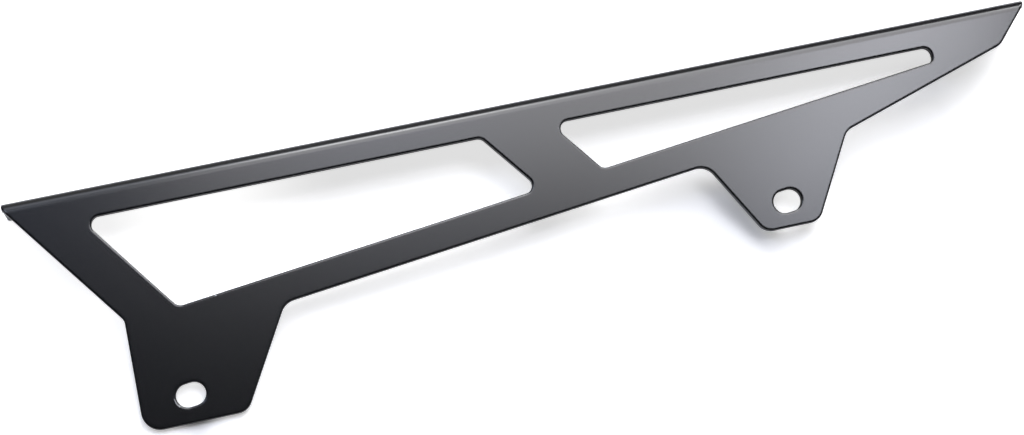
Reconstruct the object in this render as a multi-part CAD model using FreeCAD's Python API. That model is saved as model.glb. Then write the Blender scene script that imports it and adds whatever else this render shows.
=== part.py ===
import FreeCAD, Part
import math
import os

# Chain guard: one folded sheet. An upright plate covers the outer side of the
# chain run. A flange along its top edge turns back over the chain.
#
# All sizes are in millimetres and all angles in degrees.
# The finished part stands as it is bolted on: X runs along the line of the two
# bolt slots toward the tail, Y points back from the outer face to the wheel
# side and Z is up. The origin is on the back face, midway between the slots.
#
# The plate is laid out along the fold: u runs along the fold toward the tail
# and w is square to it, up. The last step turns the part by fold_fall, which
# brings the two slots level.

# Sheet and fold
sheet = 3.0                 # thickness
bend_inner_radius = 1.5     # inside radius of the fold
flange_depth = 26.0         # outer face to the free edge of the flange
flange_corner_radius = 2.0  # free corners of the flange
fold_fall = 6.0             # slope of the fold below the line of the slots
fold_height = 75.5          # origin to the top face of the flange
edge_round = 0.7            # rounding of the cut edges
hole_back_bevel = 0.2       # bevel of the hole edges on the back face

# Bolt slots
slot_spacing = 250.0        # centre to centre
slot_width = 9.2
slot_length = 11.7          # end to end, along the line of both slots

# Bands of the plate round the two openings
top_band = 12.3             # flange top to the upper edge of the openings
opening_top_rise = 0.1      # angle between this edge and the fold
arm_rise = 6.3              # angle between the lower arm and the fold
arm_band = 11.7
nose_angle = 54.0           # slanted front end to the fold
nose_distance = 104.2       # origin to the slanted front edge
nose_band = 18.0
bridge_angle = 52.8         # band between the two openings to the fold
bridge_distance = 44.8      # origin to the front side of this band
bridge_band = 22.9
opening_end_height = 6.5    # upright tail end of the second opening
opening_end_band = 29.6     # from there to the lower corner of the tail, along the fold
opening_corner_radius = 3.5
opening_end_upper_radius = 3.4
opening_end_lower_radius = 2.3

# Front tab
front_tab_foot = 11.0       # slot centre to the foot
front_tab_side_angle = 91.2
front_tab_side = 20.1       # slot centre to the front side
front_tab_flank_angle = 59.7
front_tab_flank = 23.1      # slot centre to the slanted rear side
front_tab_front_radius = 7.5
front_tab_rear_radius = 6.5

# Rear tab
rear_tab_foot = 10.6
rear_tab_front_angle = 61.2
rear_tab_front = 15.5       # slot centre to the slanted front side
rear_tab_rear_angle = 59.5
rear_tab_rear = 15.0        # slot centre to the slanted rear side
rear_tab_radius = 6.5

# Inside corners between the tabs and the plate
nose_corner_radius = 4.2
front_tab_root_radius = 7.2
rear_tab_root_radius = 7.0

# Tail
tail_rise = 17.0            # lower edge of the tail to the fold
tail_tip_depth = 17.1       # flange top to where this edge meets the end edge
tail_end_angle = 46.5
tail_end_distance = 125.0   # origin to the slanted end edge
tail_corner_radius = 6.0

# Both slanted ends swing square to the fold on their way round the bend. Each
# swing starts in line with the slanted edge, turns at a steady rate on the
# outer side of the sheet and is done at its own angle of the bend.
nose_swing_angle = 46.0
tail_swing_angle = 76.0

bend_radius = bend_inner_radius + sheet
bend_start = fold_height - bend_radius
cutter_margin = 5.0


def vec(u, y, w):
    """A point or direction along the fold, through the sheet and up."""
    return FreeCAD.Vector(u, y, w)


def line(angle, distance):
    """A line on the plate: its slope to u and its distance from the origin."""
    return (math.radians(angle), distance)


def line_from(point, angle, distance):
    """A line at a set distance to the left of a point, looking along it."""
    a = math.radians(angle)
    own = -point[0] * math.sin(a) + point[1] * math.cos(a)
    return (a, own + distance)


def meet(first, second):
    """The crossing point of two lines."""
    a, p = first
    b, q = second
    det = math.sin(b - a)
    u = (p * math.cos(b) - q * math.cos(a)) / det
    w = (p * math.sin(b) - q * math.sin(a)) / det
    return (u, w)


def point_at_height(edge, w):
    """The point of a line at height w."""
    a, distance = edge
    return ((w * math.cos(a) - distance) / math.sin(a), w)


def rounded_face(corners, y):
    """A face from (u, w, radius) corners, each rounded by a tangent arc."""
    edges = []
    ends = []
    count = len(corners)
    for i in range(count):
        before = corners[i - 1]
        here = corners[i]
        after = corners[(i + 1) % count]
        p = vec(here[0], y, here[1])
        to_before = (vec(before[0], y, before[1]) - p).normalize()
        to_after = (vec(after[0], y, after[1]) - p).normalize()
        radius = here[2]
        if radius == 0:
            ends.append((p, p))
            continue
        half = to_before.getAngle(to_after) / 2.0
        run = radius / math.tan(half)
        start = p + to_before * run
        stop = p + to_after * run
        middle_way = (to_before + to_after).normalize()
        centre = p + middle_way * (radius / math.sin(half))
        middle = centre - middle_way * radius
        edges.append(Part.Arc(start, middle, stop).toShape())
        ends.append((start, stop))
    for i in range(count):
        start = ends[i - 1][1]
        stop = ends[i][0]
        edges.append(Part.makeLine(start, stop))
    return Part.Face(Part.Wire(Part.__sortEdges__(edges)))


def slot_centres():
    """The two slot centres, front one first."""
    fall = math.radians(fold_fall)
    reach = slot_spacing / 2.0
    u = reach * math.cos(fall)
    w = reach * math.sin(fall)
    return (-u, -w), (u, w)


def nose_edge():
    """The slanted front edge, walked upward to the front."""
    return line(180.0 - nose_angle, nose_distance)


def tail_end_edge():
    """The slanted end edge of the tail, walked upward."""
    return line(tail_end_angle, -tail_end_distance)


def tail_tip():
    """Where the lower edge of the tail meets its slanted end edge."""
    return point_at_height(tail_end_edge(), fold_height - tail_tip_depth)


def opening_top():
    """The upper edge of both openings."""
    return line(opening_top_rise, fold_height - top_band)


def opening_end():
    """The upright tail end of the rear opening."""
    return line(90.0, opening_end_band - tail_tip()[0])


def opening_bottom():
    """The lower edge of both openings, which is the upper edge of the arm."""
    u, top = meet(opening_top(), opening_end())
    return line_from((u, top - opening_end_height), arm_rise, 0.0)


def plate_corners():
    """The outline of the plate below the fold, with its corner radii."""
    front, rear = slot_centres()
    nose = nose_edge()
    end = tail_end_edge()
    slope, height = opening_bottom()
    arm = (slope, height - arm_band)
    tail = line_from(tail_tip(), tail_rise, 0.0)
    front_side = line_from(front, -front_tab_side_angle, -front_tab_side)
    front_foot = line_from(front, 0.0, -front_tab_foot)
    front_flank = line_from(front, front_tab_flank_angle, -front_tab_flank)
    rear_flank_a = line_from(rear, -rear_tab_front_angle, -rear_tab_front)
    rear_foot = line_from(rear, 0.0, -rear_tab_foot)
    rear_flank_b = line_from(rear, rear_tab_rear_angle, -rear_tab_rear)
    walk = [
        (meet(nose, front_side), nose_corner_radius),
        (meet(front_side, front_foot), front_tab_front_radius),
        (meet(front_foot, front_flank), front_tab_rear_radius),
        (meet(front_flank, arm), front_tab_root_radius),
        (meet(arm, rear_flank_a), rear_tab_root_radius),
        (meet(rear_flank_a, rear_foot), rear_tab_radius),
        (meet(rear_foot, rear_flank_b), rear_tab_radius),
        (meet(rear_flank_b, tail), rear_tab_root_radius),
        (meet(tail, end), tail_corner_radius),
        (point_at_height(end, bend_start), 0),
        (point_at_height(nose, bend_start), 0),
    ]
    return [(p[0], p[1], radius) for p, radius in walk]


def plate():
    """The upright plate, up to the start of the bend."""
    face = rounded_face(plate_corners(), -sheet)
    return face.extrude(vec(0, sheet, 0))


def swing_reach(slant, swing_angle):
    """How far an end edge runs on along the fold while it swings square."""
    slope = 1.0 / math.tan(math.radians(slant))
    return slope * bend_radius * math.radians(swing_angle) / 2.0


def fold_ends():
    """Positions of both square ends of the flange along the fold."""
    front = point_at_height(nose_edge(), bend_start)[0]
    rear = point_at_height(tail_end_edge(), bend_start)[0]
    front = front - swing_reach(nose_angle, nose_swing_angle)
    rear = rear + swing_reach(tail_end_angle, tail_swing_angle)
    return front, rear


def bend_point(u, turn, radius):
    """A point of the bend at an angle from the plate and a radius."""
    y = -sheet + bend_radius - radius * math.cos(turn)
    w = bend_start + radius * math.sin(turn)
    return vec(u, y, w)


def swing_curve(edge, slant, swing_angle, side, radius):
    """The path of an end edge round the bend: slanted at first, square last."""
    start = point_at_height(edge, bend_start)[0]
    reach = side * swing_reach(slant, swing_angle)
    swing = math.radians(swing_angle)
    slope = side * radius / math.tan(math.radians(slant))
    shares = [i / 4.0 for i in range(5)]
    points = []
    for share in shares:
        lead = slope * swing * share * (1.0 - share) ** 2
        run = reach * share ** 2 * (3.0 - 2.0 * share)
        points.append(bend_point(start + lead + run, swing * share, radius))
    first = vec(slope, 0, radius) * swing
    last = vec(0, math.sin(swing), math.cos(swing)) * radius * swing
    curve = Part.BSplineCurve()
    curve.interpolate(Points=points, Parameters=shares, InitialTangent=first, FinalTangent=last, Scale=False)
    return curve.toShape()


def swing_cutter(edge, slant, swing_angle, side):
    """The stock beyond a slanted end within the bend."""
    inner = swing_curve(edge, slant, swing_angle, side, bend_inner_radius / 2.0)
    outer = swing_curve(edge, slant, swing_angle, side, bend_radius * 1.5)
    skin = Part.makeRuledSurface(inner, outer)
    depth = swing_reach(slant, swing_angle) + cutter_margin
    return skin.extrude(vec(side * depth, 0, 0))


def fold():
    """The bend with the flange, its ends swung round from the plate."""
    front, rear = fold_ends()
    length = rear - front
    bend_centre = vec(front, -sheet + bend_radius, bend_start)
    axis = vec(1, 0, 0)
    outer = Part.makeCylinder(bend_radius, length, bend_centre, axis)
    inner = Part.makeCylinder(bend_inner_radius, length, bend_centre, axis)
    quarter = Part.makeBox(length, bend_radius, bend_radius, vec(front, -sheet, bend_start))
    bend = outer.common(quarter).cut(inner)
    bend = bend.cut(swing_cutter(nose_edge(), nose_angle, nose_swing_angle, -1))
    bend = bend.cut(swing_cutter(tail_end_edge(), tail_end_angle, tail_swing_angle, 1))
    depth = flange_depth - bend_radius
    flat = Part.makeBox(length, depth, sheet, vec(front, bend_centre.y, fold_height - sheet))
    corners = [e for e in flat.Edges if is_free_corner(e)]
    flat = flat.makeFillet(flange_corner_radius, corners)
    return bend.fuse(flat)


def is_free_corner(edge):
    """Whether an edge is one of the upright ones at the flange's free side."""
    box = edge.BoundBox
    upright = box.ZLength > sheet / 2.0 and box.XLength < 1e-6
    return upright and box.YMin > flange_depth - sheet - 1e-6


def front_opening():
    """The long opening between the slanted front band and the bridge."""
    top = opening_top()
    bottom = opening_bottom()
    front = line(-nose_angle, -nose_distance + nose_band)
    rear = line(-bridge_angle, bridge_distance)
    corners = [meet(top, front), meet(front, bottom), meet(bottom, rear), meet(rear, top)]
    return opening([(p[0], p[1], opening_corner_radius) for p in corners])


def rear_opening():
    """The tapered opening between the bridge and the tail."""
    top = opening_top()
    bottom = opening_bottom()
    front = line(-bridge_angle, bridge_distance + bridge_band)
    end = opening_end()
    walk = [
        (meet(top, front), opening_corner_radius),
        (meet(front, bottom), opening_corner_radius),
        (meet(bottom, end), opening_end_lower_radius),
        (meet(end, top), opening_end_upper_radius),
    ]
    return opening([(p[0], p[1], radius) for p, radius in walk])


def opening(corners):
    """A cutter through the plate with this outline."""
    face = rounded_face(corners, -sheet - cutter_margin)
    return face.extrude(vec(0, sheet + 2.0 * cutter_margin, 0))


def slot(centre):
    """A cutter for one bolt slot, a round-ended hole along the line of both slots."""
    depth = sheet + 2.0 * cutter_margin
    radius = slot_width / 2.0
    half = slot_length / 2.0 - radius
    middle = vec(centre[0], -sheet - cutter_margin, centre[1])
    sides = [Part.makeCylinder(radius, depth, middle + vec(side * half, 0, 0), vec(0, 1, 0)) for side in (-1, 1)]
    box = Part.makeBox(2.0 * half, depth, slot_width, middle - vec(half, 0, radius))
    cutter = sides[0].fuse([sides[1], box]).removeSplitter()
    cutter.rotate(middle, vec(0, 1, 0), -fold_fall)
    return cutter


def is_skin(face):
    """Whether a face is part of either side of the sheet, not a cut edge."""
    surface = face.Surface
    if surface.TypeId == "Part::GeomCylinder":
        return abs(surface.Axis.x) > 0.999
    if surface.TypeId != "Part::GeomPlane":
        return False
    middle = face.CenterOfMass
    on_plate = abs(surface.Axis.y) > 0.999 and middle.y < sheet
    on_flange = abs(surface.Axis.z) > 0.999 and middle.z > bend_start and middle.y > sheet
    return on_plate or on_flange


def rim_edges(body):
    """The edges where a side of the sheet ends at a cut edge."""
    bounds = {}
    for face in body.Faces:
        if is_skin(face):
            for edge in face.Edges:
                bounds.setdefault(edge.hashCode(), []).append(edge)
    return [edges[0] for edges in bounds.values() if len(edges) == 1]


def back_hole_edges(body):
    """The edges of the slots and openings on the back face of the plate."""
    edges = []
    for face in body.Faces:
        if is_skin(face) and abs(face.CenterOfMass.y) < 1e-6:
            outline = face.OuterWire
            for wire in face.Wires:
                if not wire.isSame(outline):
                    edges.extend(wire.Edges)
    return edges


def chain_guard():
    """The whole guard as it is bolted on."""
    body = plate().fuse(fold()).removeSplitter()
    body = body.cut([front_opening(), rear_opening()])
    body = body.cut([slot(centre) for centre in slot_centres()])
    body = body.Solids[0]
    behind = [edge.hashCode() for edge in back_hole_edges(body)]
    rounded = [edge for edge in rim_edges(body) if edge.hashCode() not in behind]
    body = body.makeFillet(edge_round, rounded).Solids[0]
    body = body.makeChamfer(hole_back_bevel, back_hole_edges(body)).Solids[0]
    body.rotate(vec(0, 0, 0), vec(0, 1, 0), fold_fall)
    return body


os.makedirs("parts", exist_ok=True)
chain_guard().exportStep("parts/chain_guard.step")
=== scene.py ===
import logging
import math
from dataclasses import dataclass, field
from enum import Enum
from typing import Dict, List, Optional, Tuple

import bpy
from mathutils import Matrix, Quaternion, Vector

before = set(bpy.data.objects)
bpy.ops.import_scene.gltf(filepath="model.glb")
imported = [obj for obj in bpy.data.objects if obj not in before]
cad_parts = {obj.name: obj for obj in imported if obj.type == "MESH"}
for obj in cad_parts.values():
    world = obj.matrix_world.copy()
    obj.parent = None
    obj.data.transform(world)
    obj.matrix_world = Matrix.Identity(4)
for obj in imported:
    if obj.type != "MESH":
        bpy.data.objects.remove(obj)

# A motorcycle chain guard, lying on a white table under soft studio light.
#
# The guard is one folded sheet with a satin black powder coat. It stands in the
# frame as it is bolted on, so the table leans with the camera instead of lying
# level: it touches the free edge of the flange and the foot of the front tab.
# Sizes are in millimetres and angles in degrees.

LOG = logging.getLogger("chain_guard")
NODE = "chain_guard"
MM = 0.001

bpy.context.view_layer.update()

# The curve from sRGB to linear light is straight up to the toe's end, then a power.
TOE_END = 0.04045
TOE_SLOPE = 12.92
CURVE_OFFSET = 0.055
CURVE_POWER = 2.4

# The Mix node's sockets share their names, so they go by number.
MIX_NUMBER_A, MIX_NUMBER_B, MIX_NUMBER_RESULT = 2, 3, 0
MIX_COLOUR_A, MIX_COLOUR_B, MIX_COLOUR_RESULT = 6, 7, 2


class RayKind(Enum):
    """The outputs of the Light Path node that the stage tells apart."""

    CAMERA = "Is Camera Ray"
    GLOSSY = "Is Glossy Ray"
    TRANSMISSION = "Is Transmission Ray"


class Axis(Enum):
    """The part's axes, as the Separate XYZ node names its outputs."""

    X = "X"
    Y = "Y"
    Z = "Z"


def linear(code: str) -> Tuple[float, float, float, float]:
    """Turns an sRGB hex colour into linear values.

    Args:
        code: The colour as a hash and six hex digits.

    Returns:
        Linear red, green and blue, and an alpha of 1.
    """
    red, green, blue = (
        value / TOE_SLOPE if value <= TOE_END
        else ((value + CURVE_OFFSET) / (1.0 + CURVE_OFFSET)) ** CURVE_POWER
        for value in (int(code[start:start + 2], 16) / 255.0 for start in (1, 3, 5))
    )
    return red, green, blue, 1.0


def add_node(
    tree: bpy.types.NodeTree,
    kind: str,
    settings: Optional[Dict[str, object]] = None,
    values: Optional[Dict[object, object]] = None,
    links: Optional[Dict[object, bpy.types.NodeSocket]] = None,
) -> bpy.types.Node:
    """Adds a node with its settings, its input values and the links into it.

    Args:
        tree: The node tree that gets the node.
        kind: The node's type name.
        settings: Attributes of the node itself.
        values: Input values by socket name or index.
        links: Output sockets to connect, by the name or index of the input.

    Returns:
        The new node.
    """
    node = tree.nodes.new(kind)
    for name, setting in (settings or {}).items():
        setattr(node, name, setting)
    for key, value in (values or {}).items():
        node.inputs[key].default_value = value
    for key, socket in (links or {}).items():
        tree.links.new(socket, node.inputs[key])
    return node


@dataclass(frozen=True)
class BareMark:
    """A spot on a cut edge where the coat has chipped down to bare sheet.

    The mark is part of a ring about a short level line, as a slot's end is, and
    its width is broken up by noise. With no ring and no line it is a plain speck.
    Its centre and directions are given as X and Z.
    """

    centre: Tuple[float, float]
    half_line_mm: float
    ring_mm: float
    width_mm: float
    # Only what lies this way from the line shows, as far as the cosine of the angle
    # to it is above the least one. A least cosine under -1 shows the whole ring.
    toward: Tuple[float, float] = (1.0, 0.0)
    least_cosine: float = -2.0
    grain_mm: float = 0.9
    grain_detail: float = 2.0

    def mask(
        self, tree: bpy.types.NodeTree, place: bpy.types.NodeSocket,
    ) -> bpy.types.NodeSocket:
        """Draws the mark.

        Args:
            tree: The coat's node tree.
            place: The position on the part, in metres.

        Returns:
            A socket that is 1 on the mark and 0 off it.
        """
        arm = self.arm(tree, place)
        radius = add_node(
            tree, "ShaderNodeVectorMath", {"operation": "LENGTH"}, links={0: arm},
        ).outputs["Value"]
        past_ring = add_node(
            tree, "ShaderNodeMath", {"operation": "SUBTRACT"}, {1: self.ring_mm * MM}, {0: radius},
        ).outputs[0]
        off_ring = add_node(
            tree, "ShaderNodeMath", {"operation": "ABSOLUTE"}, links={0: past_ring},
        ).outputs[0]
        grain = add_node(
            tree, "ShaderNodeTexNoise",
            values={"Scale": 1.0 / (self.grain_mm * MM), "Detail": self.grain_detail},
            links={"Vector": place},
        ).outputs["Fac"]
        # The noise is a half on average, so twice the width times it keeps the width.
        reach = add_node(
            tree, "ShaderNodeMath", {"operation": "MULTIPLY"},
            {1: 2.0 * self.width_mm * MM}, {0: grain},
        ).outputs[0]
        on_ring = add_node(
            tree, "ShaderNodeMath", {"operation": "LESS_THAN"}, links={0: off_ring, 1: reach},
        ).outputs[0]
        heading = add_node(
            tree, "ShaderNodeVectorMath", {"operation": "NORMALIZE"}, links={0: arm},
        ).outputs["Vector"]
        cosine = add_node(
            tree, "ShaderNodeVectorMath", {"operation": "DOT_PRODUCT"},
            {1: (self.toward[0], 0.0, self.toward[1])}, {0: heading},
        ).outputs["Value"]
        on_arc = add_node(
            tree, "ShaderNodeMath", {"operation": "GREATER_THAN"},
            {1: self.least_cosine}, {0: cosine},
        ).outputs[0]
        return add_node(
            tree, "ShaderNodeMath", {"operation": "MULTIPLY"}, links={0: on_ring, 1: on_arc},
        ).outputs[0]

    def arm(
        self, tree: bpy.types.NodeTree, place: bpy.types.NodeSocket,
    ) -> bpy.types.NodeSocket:
        """Draws the way from the nearest point of the mark's line, seen along Y.

        Args:
            tree: The coat's node tree.
            place: The position on the part, in metres.

        Returns:
            A socket with the vector from the line to the position.
        """
        parts = add_node(tree, "ShaderNodeSeparateXYZ", links={"Vector": place})
        across = add_node(
            tree, "ShaderNodeMath", {"operation": "SUBTRACT"},
            {1: self.centre[0] * MM}, {0: parts.outputs[Axis.X.value]},
        ).outputs[0]
        height = add_node(
            tree, "ShaderNodeMath", {"operation": "SUBTRACT"},
            {1: self.centre[1] * MM}, {0: parts.outputs[Axis.Z.value]},
        ).outputs[0]
        nearest = add_node(
            tree, "ShaderNodeClamp",
            values={"Min": -self.half_line_mm * MM, "Max": self.half_line_mm * MM},
            links={"Value": across},
        ).outputs["Result"]
        side = add_node(
            tree, "ShaderNodeMath", {"operation": "SUBTRACT"}, links={0: across, 1: nearest},
        ).outputs[0]
        return add_node(
            tree, "ShaderNodeCombineXYZ", links={"X": side, "Z": height},
        ).outputs["Vector"]


@dataclass(frozen=True)
class PowderCoat:
    """Satin black polyester powder coat, sprayed and baked on aluminium sheet.

    The powder flows out as it bakes, so the skin has a faint orange peel and an
    even satin gloss: the eye sees soft, wide reflections and no sparkle. Where it
    has chipped off a cut edge, the bare sheet shows as a bright, dull line.
    """

    name: str = "powder_coat_satin_black"
    shade: str = "#0b0c0e"
    deep_shade: str = "#090a0c"
    bare_shade: str = "#8c8e90"
    bare_roughness: float = 0.42
    resin_ior: float = 1.6
    roughness_low: float = 0.20
    roughness_high: float = 0.215
    # Shade and gloss drift a little between the passes of the spray gun.
    cloud_mm: float = 60.0
    cloud_detail: float = 3.0
    # Real orange peel runs at 0.5 to 1 mm. It is drawn at 1.6 mm so that it shows.
    peel_mm: float = 1.6
    peel_detail: float = 2.0
    peel_depth_mm: float = 0.002
    peel_strength: float = 0.3
    # Powder draws back from a cut edge as it melts and leaves a soft, fat rim there.
    fat_edge_mm: float = 0.7
    fat_edge_samples: int = 8
    # A crescent at the lower left of the front slot, and a nick in the lower edge of
    # the front opening.
    marks: Tuple[BareMark, ...] = (
        BareMark((-125.0, 0.0), 1.25, 5.4, 0.15, toward=(-0.95, -0.31), least_cosine=0.93),
        BareMark((-104.3, 34.0), 0.0, 0.0, 0.36),
    )

    def build(self) -> bpy.types.Material:
        """Makes the coat's material.

        Returns:
            The finished material.
        """
        material = bpy.data.materials.new(self.name)
        material.use_nodes = True
        tree = material.node_tree
        tree.nodes.clear()
        place = add_node(tree, "ShaderNodeTexCoord").outputs["Object"]
        bare = self.bare_places(tree, place)
        cloud = add_node(
            tree, "ShaderNodeTexNoise",
            values={"Scale": 1.0 / (self.cloud_mm * MM), "Detail": self.cloud_detail},
            links={"Vector": place},
        ).outputs["Fac"]
        coat_colour = add_node(
            tree, "ShaderNodeMix", {"data_type": "RGBA"},
            {MIX_COLOUR_A: linear(self.deep_shade), MIX_COLOUR_B: linear(self.shade)},
            {"Factor": cloud},
        ).outputs[MIX_COLOUR_RESULT]
        colour = add_node(
            tree, "ShaderNodeMix", {"data_type": "RGBA"},
            {MIX_COLOUR_B: linear(self.bare_shade)},
            {"Factor": bare, MIX_COLOUR_A: coat_colour},
        ).outputs[MIX_COLOUR_RESULT]
        coat_roughness = add_node(
            tree, "ShaderNodeMapRange",
            values={"To Min": self.roughness_low, "To Max": self.roughness_high},
            links={"Value": cloud},
        ).outputs["Result"]
        roughness = add_node(
            tree, "ShaderNodeMix",
            values={MIX_NUMBER_B: self.bare_roughness},
            links={"Factor": bare, MIX_NUMBER_A: coat_roughness},
        ).outputs[MIX_NUMBER_RESULT]
        surface = add_node(
            tree, "ShaderNodeBsdfPrincipled",
            values={"IOR": self.resin_ior},
            links={
                "Base Color": colour, "Metallic": bare, "Roughness": roughness,
                "Normal": self.skin(tree, place),
            },
        ).outputs["BSDF"]
        add_node(tree, "ShaderNodeOutputMaterial", links={"Surface": surface})
        return material

    def skin(
        self, tree: bpy.types.NodeTree, place: bpy.types.NodeSocket,
    ) -> bpy.types.NodeSocket:
        """Draws the skin's relief: the fat rims, with the orange peel on them.

        Args:
            tree: The coat's node tree.
            place: The position on the part, in metres.

        Returns:
            A socket with the skin's normal.
        """
        peel = add_node(
            tree, "ShaderNodeTexNoise",
            values={"Scale": 1.0 / (self.peel_mm * MM), "Detail": self.peel_detail},
            links={"Vector": place},
        ).outputs["Fac"]
        fat_edge = add_node(
            tree, "ShaderNodeBevel", {"samples": self.fat_edge_samples},
            {"Radius": self.fat_edge_mm * MM},
        ).outputs["Normal"]
        return add_node(
            tree, "ShaderNodeBump",
            values={"Strength": self.peel_strength, "Distance": self.peel_depth_mm * MM},
            links={"Height": peel, "Normal": fat_edge},
        ).outputs["Normal"]

    def bare_places(
        self, tree: bpy.types.NodeTree, place: bpy.types.NodeSocket,
    ) -> bpy.types.NodeSocket:
        """Joins the masks of all marks.

        Args:
            tree: The coat's node tree.
            place: The position on the part, in metres.

        Returns:
            A socket that is 1 wherever the sheet is bare.
        """
        masks = [mark.mask(tree, place) for mark in self.marks]
        joined = masks[0]
        for mask in masks[1:]:
            joined = add_node(
                tree, "ShaderNodeMath", {"operation": "MAXIMUM"}, links={0: joined, 1: mask},
            ).outputs[0]
        return joined


@dataclass(frozen=True)
class Fade:
    """A value that changes evenly between two places along one of the part's axes."""

    axis: Axis
    start_mm: float
    end_mm: float
    start_value: float
    end_value: float

    def draw(
        self, tree: bpy.types.NodeTree, place: bpy.types.NodeSocket,
    ) -> bpy.types.NodeSocket:
        """Draws the fade.

        Args:
            tree: The node tree that gets it.
            place: The position, in metres.

        Returns:
            The value's socket.
        """
        parts = add_node(tree, "ShaderNodeSeparateXYZ", links={"Vector": place})
        return add_node(
            tree, "ShaderNodeMapRange",
            values={
                "From Min": self.start_mm * MM, "From Max": self.end_mm * MM,
                "To Min": self.start_value, "To Max": self.end_value,
            },
            links={"Value": parts.outputs[self.axis.value]},
        ).outputs["Result"]


@dataclass(frozen=True)
class Patch:
    """A soft round patch, seen along the part's Y axis, where a value is changed.

    Its centre is given as X and Z. The change is whole there and fades to none.
    """

    centre: Tuple[float, float]
    radius_mm: float
    change: float

    def draw(
        self, tree: bpy.types.NodeTree, place: bpy.types.NodeSocket,
    ) -> bpy.types.NodeSocket:
        """Draws the patch.

        Args:
            tree: The node tree that gets it.
            place: The position, in metres.

        Returns:
            A socket with the value to add.
        """
        flat = add_node(
            tree, "ShaderNodeVectorMath", {"operation": "MULTIPLY"},
            {1: (1.0, 0.0, 1.0)}, {0: place},
        ).outputs["Vector"]
        away = add_node(
            tree, "ShaderNodeVectorMath", {"operation": "DISTANCE"},
            {1: (self.centre[0] * MM, 0.0, self.centre[1] * MM)}, {0: flat},
        ).outputs["Value"]
        return add_node(
            tree, "ShaderNodeMapRange", {"interpolation_type": "SMOOTHSTEP"},
            {
                "From Min": 0.0, "From Max": self.radius_mm * MM,
                "To Min": self.change, "To Max": 0.0,
            },
            {"Value": away},
        ).outputs["Result"]


@dataclass(frozen=True)
class MattBoard:
    """Matt white table board: a pale ground that keeps soft shadows.

    Its white is lifted by a glow that only some rays see, so that the ground looks burnt out. The
    lift is painted light and shade. It grows up the table and beyond the nose. Painted shadows
    make it less at the foot of the front tab, before the rear tab and under the tail, where the
    shadows are deepest. Painted light makes it more behind both slots and at the upper left of the
    front opening.
    """

    name: str = "table_board_matt_white"
    shade: str = "#e6e6e6"
    # The lit board mirrors as plain white without the lift, and the guard's rims
    # shine too brightly with all of it.
    mirrored_share: float = 0.25
    # Painted light: the lift grows up the table and beyond the nose.
    painted_light_fades: Tuple[Fade, ...] = (
        Fade(Axis.Z, -20.0, 44.0, 0.42, 0.73),
        Fade(Axis.X, -170.0, -135.0, 0.2, 0.0),
    )
    # Painted shadows where the change is below zero, painted light where it is above.
    painted_light_and_shade_patches: Tuple[Patch, ...] = (
        Patch((-126.0, -14.0), 12.5, -0.40),
        Patch((97.0, 3.0), 45.0, -0.31),
        Patch((198.0, 13.0), 38.0, -0.15),
        Patch((-102.0, 75.0), 62.0, 0.34),
        Patch((131.0, 0.0), 24.0, 0.38),
        Patch((-124.0, 6.0), 13.0, 0.26),
    )

    def build(self) -> bpy.types.Material:
        """Makes the board's material, which shows only from its upper side.

        Returns:
            The finished material.
        """
        material = bpy.data.materials.new(self.name)
        material.use_nodes = True
        tree = material.node_tree
        tree.nodes.clear()
        board = add_node(tree, "ShaderNodeBsdfDiffuse", values={"Color": linear(self.shade)})
        # A glow on the board: painted light, with painted shadows where it is less.
        painted_lift = add_node(tree, "ShaderNodeEmission", links={"Strength": self.painted_lift(tree)})
        lit = add_node(
            tree, "ShaderNodeAddShader",
            links={0: board.outputs["BSDF"], 1: painted_lift.outputs["Emission"]},
        )
        clear = add_node(tree, "ShaderNodeBsdfTransparent")
        side = add_node(tree, "ShaderNodeNewGeometry")
        shown = add_node(
            tree, "ShaderNodeMixShader",
            links={0: side.outputs["Backfacing"], 1: lit.outputs[0], 2: clear.outputs["BSDF"]},
        )
        add_node(tree, "ShaderNodeOutputMaterial", links={"Surface": shown.outputs[0]})
        return material

    def painted_lift(self, tree: bpy.types.NodeTree) -> bpy.types.NodeSocket:
        """Draws the painted light and shade that lift the board's white, for the rays that may see
        it.

        Args:
            tree: The board's node tree.

        Returns:
            A socket with the strength of the lift.
        """
        place = add_node(tree, "ShaderNodeTexCoord").outputs["Object"]
        shares = [share.draw(tree, place) for share in self.painted_light_fades + self.painted_light_and_shade_patches]
        painted_white = shares[0]
        for share in shares[1:]:
            painted_white = add_node(
                tree, "ShaderNodeMath", {"operation": "ADD"}, links={0: painted_white, 1: share},
            ).outputs[0]
        path = add_node(tree, "ShaderNodeLightPath")
        mirrored = add_node(
            tree, "ShaderNodeMath", {"operation": "MULTIPLY"}, {1: self.mirrored_share},
            {0: path.outputs[RayKind.GLOSSY.value]},
        ).outputs[0]
        seen = path.outputs[RayKind.CAMERA.value]
        for ray in (path.outputs[RayKind.TRANSMISSION.value], mirrored):
            seen = add_node(
                tree, "ShaderNodeMath", {"operation": "MAXIMUM"}, links={0: seen, 1: ray},
            ).outputs[0]
        return add_node(
            tree, "ShaderNodeMath", {"operation": "MULTIPLY"}, links={0: seen, 1: painted_white},
        ).outputs[0]


@dataclass(frozen=True)
class ChainGuard:
    """The folded sheet itself: the part's own solid, dressed in its coat."""

    coat: PowderCoat = field(default_factory=PowderCoat)

    def dress(self) -> bpy.types.Object:
        """Puts the coat on the solid.

        Returns:
            The dressed object.
        """
        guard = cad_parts[NODE]
        guard.data.materials.clear()
        guard.data.materials.append(self.coat.build())
        return guard


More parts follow.
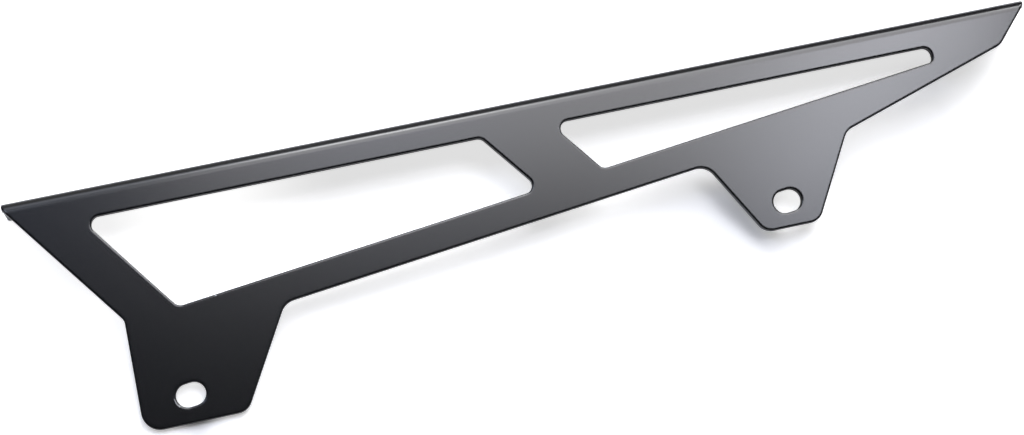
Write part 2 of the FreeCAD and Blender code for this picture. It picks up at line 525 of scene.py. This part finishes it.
@dataclass(frozen=True)
class Tabletop:
    """The table that the guard lies on, seen from its upper side only.

    It is one flat board. It passes under the foot of the front tab, at the plate's
    back face, and under the free edge of the flange. The fold runs level across it.
    """

    # How far the fold falls toward the tail, against the line of the slots.
    fold_fall: float = 6.0
    span: float = 4000.0
    # The board ends a little above the picture, so that the fold mirrors a dark room.
    far_edge: float = 210.0
    board: MattBoard = field(default_factory=MattBoard)

    def build(self, guard: bpy.types.Object) -> bpy.types.Object:
        """Makes the table.

        Args:
            guard: The guard, which the table touches.

        Returns:
            The table object.
        """
        fall = math.radians(self.fold_fall)
        along = Vector((math.cos(fall), 0.0, -math.sin(fall)))
        up = Vector((math.sin(fall), 0.0, math.cos(fall)))
        points = [guard.matrix_world @ vertex.co for vertex in guard.data.vertices]
        heights = [point.dot(up) for point in points]
        foot = up * min(heights)
        flange_edge = up * max(heights) + Vector((0.0, max(point.y for point in points), 0.0))
        rise = (flange_edge - foot).normalized()
        half, far = self.span * MM / 2.0, self.far_edge * MM
        corners = [
            foot + along * level + rise * slope
            for level, slope in ((-half, -half), (half, -half), (half, far), (-half, far))
        ]
        mesh = bpy.data.meshes.new("table")
        mesh.from_pydata([tuple(corner) for corner in corners], [], [(0, 1, 2, 3)])
        mesh.materials.append(self.board.build())
        table = bpy.data.objects.new("table", mesh)
        bpy.context.scene.collection.objects.link(table)
        return table


@dataclass(frozen=True)
class SoftBox:
    """One rectangular soft light, hung round the guard and aimed at its middle.

    The bearing runs from straight in front toward the tail, and the elevation up
    from the line of the slots.
    """

    name: str
    bearing: float
    elevation: float
    size: Tuple[float, float]
    watts: float
    distance: float = 1500.0
    roll: float = 0.0
    aim: Tuple[float, float, float] = (40.0, 0.0, 45.0)
    tint: str = "#ffffff"

    def build(self) -> bpy.types.Object:
        """Makes the lamp.

        Returns:
            The lamp object.
        """
        lamp = bpy.data.lights.new(self.name, "AREA")
        lamp.shape = "RECTANGLE"
        lamp.size, lamp.size_y = self.size[0] * MM, self.size[1] * MM
        lamp.energy = self.watts
        lamp.color = linear(self.tint)[:3]
        turn, rise = math.radians(self.bearing), math.radians(self.elevation)
        level = math.cos(rise)
        out = Vector((math.sin(turn) * level, -math.cos(turn) * level, math.sin(rise)))
        roll = Quaternion((0.0, 0.0, 1.0), math.radians(self.roll))
        body = bpy.data.objects.new(self.name, lamp)
        body.location = (Vector(self.aim) + out * self.distance) * MM
        body.rotation_mode = "QUATERNION"
        body.rotation_quaternion = (-out).to_track_quat("-Z", "Y") @ roll
        bpy.context.scene.collection.objects.link(body)
        return body


@dataclass(frozen=True)
class Lights:
    """The lamps, placed where the plate, the fold and the cut edges mirror them."""

    boxes: Tuple[SoftBox, ...] = (
        # The key's soft lower edge gives the plate its slow change from black to grey,
        # and the next three correct it.
        SoftBox("softbox_key", 20.5, 32.8, (910.0, 1400.0), 21.4,
                distance=1390.0, roll=-20.0, tint="#fbfbff"),
        SoftBox("softbox_low", 23.5, 6.0, (400.0, 150.0), 1.37,
                distance=1390.0, roll=39.0, tint="#eff2ff"),
        SoftBox("softbox_high_edge", 41.0, 50.0, (260.0, 260.0), 0.22, distance=1390.0),
        SoftBox("softbox_glint", 4.5, 13.0, (200.0, 150.0), 0.14, tint="#b8ccff"),
        # The line of light along the fold.
        SoftBox("strip_fold", 11.8, 50.5, (250.0, 340.0), 2.8),
        SoftBox("strip_tip", -7.0, 36.0, (200.0, 500.0), 0.28, tint="#dce6ff"),
        # The thin light rims of the openings.
        SoftBox("rim_side", 62.0, 39.0, (400.0, 400.0), 7.0),
        # Weaker light from above and from the nose's side.
        SoftBox("fill_top", -8.0, 58.0, (500.0, 600.0), 1.6, tint="#e8eeff"),
        SoftBox("fill_nose", -27.0, 30.0, (500.0, 500.0), 5.0, tint="#dce6ff"),
        SoftBox("fill_side", -9.0, 16.0, (340.0, 240.0), 0.14, tint="#c8d6ff"),
    )

    def build(self) -> List[bpy.types.Object]:
        """Makes every lamp, in order."""
        return [box.build() for box in self.boxes]


@dataclass(frozen=True)
class Room:
    """The room round the table, plain white to the camera.

    The guard mirrors it white behind itself, dim at the ceiling and dark elsewhere.
    Each fade gives the share of a ray's direction along Y or Z at which the white or
    the ceiling starts, and the one at which it is full.
    """

    white_fade: Tuple[float, float] = (0.7, 0.95)
    ceiling_fade: Tuple[float, float] = (0.85, 1.0)
    ceiling: float = 0.6

    def build(self) -> bpy.types.World:
        """Makes the world and gives it to the scene.

        Returns:
            The world.
        """
        world = bpy.data.worlds.new("room")
        world.use_nodes = True
        bpy.context.scene.world = world
        tree = world.node_tree
        tree.nodes.clear()
        path = add_node(tree, "ShaderNodeLightPath")
        heading = add_node(tree, "ShaderNodeTexCoord").outputs["Generated"]
        parts = add_node(tree, "ShaderNodeSeparateXYZ", links={"Vector": heading})
        behind = add_node(
            tree, "ShaderNodeMapRange",
            values={"From Min": self.white_fade[0], "From Max": self.white_fade[1]},
            links={"Value": parts.outputs[Axis.Y.value]},
        ).outputs["Result"]
        above = add_node(
            tree, "ShaderNodeMapRange",
            values={
                "From Min": self.ceiling_fade[0], "From Max": self.ceiling_fade[1],
                "To Max": self.ceiling,
            },
            links={"Value": parts.outputs[Axis.Z.value]},
        ).outputs["Result"]
        mirrored = add_node(
            tree, "ShaderNodeMath", {"operation": "MAXIMUM"}, links={0: behind, 1: above},
        ).outputs[0]
        strength = add_node(
            tree, "ShaderNodeMath", {"operation": "MULTIPLY"},
            links={0: path.outputs[RayKind.GLOSSY.value], 1: mirrored},
        ).outputs[0]
        for kind in (RayKind.CAMERA, RayKind.TRANSMISSION):
            strength = add_node(
                tree, "ShaderNodeMath", {"operation": "MAXIMUM"},
                links={0: path.outputs[kind.value], 1: strength},
            ).outputs[0]
        ground = add_node(tree, "ShaderNodeBackground", links={"Strength": strength})
        add_node(tree, "ShaderNodeOutputWorld", links={"Surface": ground.outputs[0]})
        return world


@dataclass(frozen=True)
class StudioCamera:
    """The camera: its place, its axes and its lens, as solved from the photograph."""

    place: Tuple[float, float, float] = (-123.0, -899.2, -88.3)
    right: Tuple[float, float, float] = (0.94145, -0.10484, -0.32043)
    up: Tuple[float, float, float] = (0.30079, -0.16812, 0.93876)
    lens_mm: float = 80.859
    sensor_mm: float = 36.0
    nearest: float = 50.0
    farthest: float = 30000.0

    def build(self) -> bpy.types.Object:
        """Makes the camera and gives it to the scene.

        Returns:
            The camera object.
        """
        data = bpy.data.cameras.new("camera")
        data.lens = self.lens_mm
        data.sensor_width = self.sensor_mm
        data.sensor_fit = "HORIZONTAL"
        data.clip_start, data.clip_end = self.nearest * MM, self.farthest * MM
        camera = bpy.data.objects.new("camera", data)
        right, up = Vector(self.right).normalized(), Vector(self.up).normalized()
        back = right.cross(up).normalized()
        turn = Matrix((right, up, back)).transposed().to_4x4()
        camera.matrix_world = Matrix.Translation(Vector(self.place) * MM) @ turn
        bpy.context.scene.collection.objects.link(camera)
        bpy.context.scene.camera = camera
        return camera


def set_view() -> None:
    """Sets the plain view transform."""
    bpy.context.scene.view_settings.view_transform = "Standard"


def main() -> None:
    """Builds the guard and the studio round it, and reports each piece."""
    logging.basicConfig(level=logging.INFO, format="%(message)s")
    set_view()
    guard = ChainGuard().dress()
    LOG.info("guard: %d faces, %s", len(guard.data.polygons), guard.data.materials[0].name)
    table = Tabletop().build(guard)
    LOG.info("table: corners at %s", [tuple(vertex.co) for vertex in table.data.vertices])
    for lamp in Lights().build():
        LOG.info("light: %s, %.2f W", lamp.name, lamp.data.energy)
    room = Room().build()
    LOG.info("room: %s", room.name)
    camera = StudioCamera().build()
    LOG.info("camera: %.1f mm lens", camera.data.lens)


if __name__ == "__main__":
    main()
